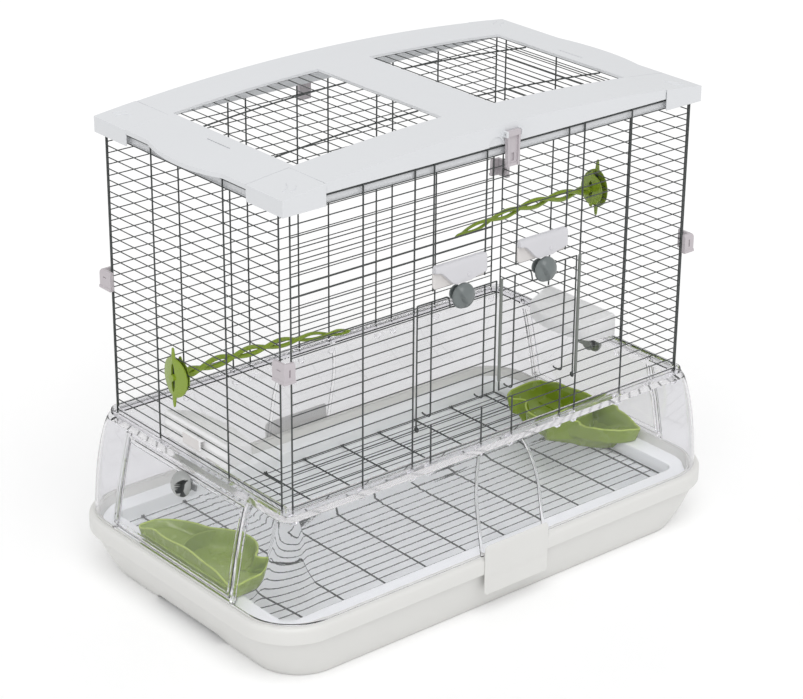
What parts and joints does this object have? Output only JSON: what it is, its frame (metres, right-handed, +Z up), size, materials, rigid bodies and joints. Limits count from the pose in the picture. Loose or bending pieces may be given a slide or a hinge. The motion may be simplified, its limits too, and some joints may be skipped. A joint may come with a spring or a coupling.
{
  "type": "bird cage",
  "caption": "Free-standing wire bird cage on a clear base and a deep tray, with an arched lift-off roof, drop-down wire doors, side feeding doors, cups, hoods and perches.",
  "frame": {"origin": "on the ground under the middle of the tray", "axes": "+X to the right along the long front, +Y to the back, +Z up"},
  "size_m": [0.6206, 0.381, 0.524],
  "materials": {
    "tray": "satin off-white",
    "clear": "clear, faint lilac tint",
    "wire": "dark grey coat",
    "roof": "satin white",
    "clip": "satin, warm white",
    "shield": "satin light grey",
    "knob": "mid grey",
    "green": "lime green",
    "steel": "plain"
  },
  "bodies": {
    "tray": {"tray": "tray", "tray_pan": "tray", "tray_latch_pin_front": "steel", "tray_latch_pin_back": "steel"},
    "tray_latch_front": {"tray_latch_front": "tray"},
    "tray_latch_back": {"tray_latch_back": "tray"},
    "grille": {"floor_grille": "wire"},
    "cup_left": {"cup_left": "green"},
    "cup_right": {"cup_right": "green"},
    "cage": {"base_shell": "clear", "panel_front": "wire", "panel_back": "wire", "panel_left": "wire", "panel_right": "wire", "corner_clip_front_left": "clip", "corner_clip_front_right": "clip", "corner_clip_back_left": "clip", "corner_clip_back_right": "clip", "hood_left": "roof", "hood_right": "roof", "door_plate_left": "shield", "door_plate_right": "shield", "perch_left": "green", "perch_right": "green"},
    "roof": {"roof_frame": "roof", "roof_cover": "roof", "roof_grille_left": "wire", "roof_grille_right": "wire", "roof_latch_pin_front": "steel", "roof_latch_pin_back": "steel"},
    "roof_latch_front": {"roof_latch_front": "clip"},
    "roof_latch_back": {"roof_latch_back": "clip"},
    "side_door_left": {"side_door_left": "clear"},
    "side_knob_left": {"side_knob_left": "knob"},
    "door_left": {"door_left": "wire"},
    "door_knob_left": {"door_knob_left": "knob"},
    "perch_leaf_left": {"perch_leaf_left": "green"},
    "side_door_right": {"side_door_right": "clear"},
    "side_knob_right": {"side_knob_right": "knob"},
    "door_right": {"door_right": "wire"},
    "door_knob_right": {"door_knob_right": "knob"},
    "perch_leaf_right": {"perch_leaf_right": "green"}
  },
  "joints": [
    {"name": "tray_latch_front_hinge", "type": "hinge", "parent": "tray", "child": "tray_latch_front", "pos_m": [0, -0.1845, 0.0315], "axis": [1, 0, 0], "range_deg": [0, 40]},
    {"name": "tray_latch_back_hinge", "type": "hinge", "parent": "tray", "child": "tray_latch_back", "pos_m": [0, 0.1845, 0.0315], "axis": [-1, 0, 0], "range_deg": [0, 40]},
    {"name": "grille_lift", "type": "slide", "parent": "tray", "child": "grille", "axis": [0, 0, 1], "range_m": [0, 0.01]},
    {"name": "cup_left_lift", "type": "slide", "parent": "grille", "child": "cup_left", "axis": [0, 0, 1], "range_m": [0, 0.01]},
    {"name": "cup_right_lift", "type": "slide", "parent": "grille", "child": "cup_right", "axis": [0, 0, 1], "range_m": [0, 0.01]},
    {"name": "cage_lift", "type": "slide", "parent": "tray", "child": "cage", "axis": [0, 0, 1], "range_m": [0, 0.12]},
    {"name": "roof_lift", "type": "slide", "parent": "cage", "child": "roof", "axis": [0, 0, 1], "range_m": [0, 0.06]},
    {"name": "roof_latch_front_hinge", "type": "hinge", "parent": "roof", "child": "roof_latch_front", "pos_m": [0.0075, -0.15795, 0.5145], "axis": [-1, 0, 0], "range_deg": [0, 75]},
    {"name": "roof_latch_back_hinge", "type": "hinge", "parent": "roof", "child": "roof_latch_back", "pos_m": [-0.0075, 0.15795, 0.5145], "axis": [1, 0, 0], "range_deg": [0, 75]},
    {"name": "side_door_left_hinge", "type": "hinge", "parent": "cage", "child": "side_door_left", "pos_m": [-0.29918, 0.005, 0.0777], "axis": [0, -1, 0], "range_deg": [0, 90]},
    {"name": "side_knob_left_turn", "type": "hinge", "parent": "side_door_left", "child": "side_knob_left", "pos_m": [-0.28341, 0.002, 0.159], "axis": [-0.9682, 0, 0.2501], "range_deg": [0, 90]},
    {"name": "door_left_hinge", "type": "hinge", "parent": "cage", "child": "door_left", "pos_m": [-0.1073, -0.1507, 0.2235], "axis": [1, 0, 0], "range_deg": [0, 130]},
    {"name": "door_knob_left_turn", "type": "hinge", "parent": "door_left", "child": "door_knob_left", "pos_m": [-0.0553, -0.1515, 0.3585], "axis": [0, -1, 0], "range_deg": [0, 90]},
    {"name": "side_door_right_hinge", "type": "hinge", "parent": "cage", "child": "side_door_right", "pos_m": [0.29918, 0.005, 0.0777], "axis": [0, 1, 0], "range_deg": [0, 90]},
    {"name": "side_knob_right_turn", "type": "hinge", "parent": "side_door_right", "child": "side_knob_right", "pos_m": [0.28341, 0.002, 0.159], "axis": [0.9682, 0, 0.2501], "range_deg": [0, 90]},
    {"name": "door_right_hinge", "type": "hinge", "parent": "cage", "child": "door_right", "pos_m": [0.1073, -0.1507, 0.2235], "axis": [1, 0, 0], "range_deg": [0, 130]},
    {"name": "door_knob_right_turn", "type": "hinge", "parent": "door_right", "child": "door_knob_right", "pos_m": [0.0553, -0.1515, 0.3585], "axis": [0, -1, 0], "range_deg": [0, 90]},
    {"name": "perch_leaf_left_turn", "type": "hinge", "parent": "cage", "child": "perch_leaf_left", "pos_m": [-0.2731, 0.027, 0.2662], "axis": [-1, 0, 0], "range_deg": [0, 90]},
    {"name": "perch_leaf_right_turn", "type": "hinge", "parent": "cage", "child": "perch_leaf_right", "pos_m": [0.2731, -0.006, 0.3516], "axis": [1, 0, 0], "range_deg": [0, 90]}
  ]
}
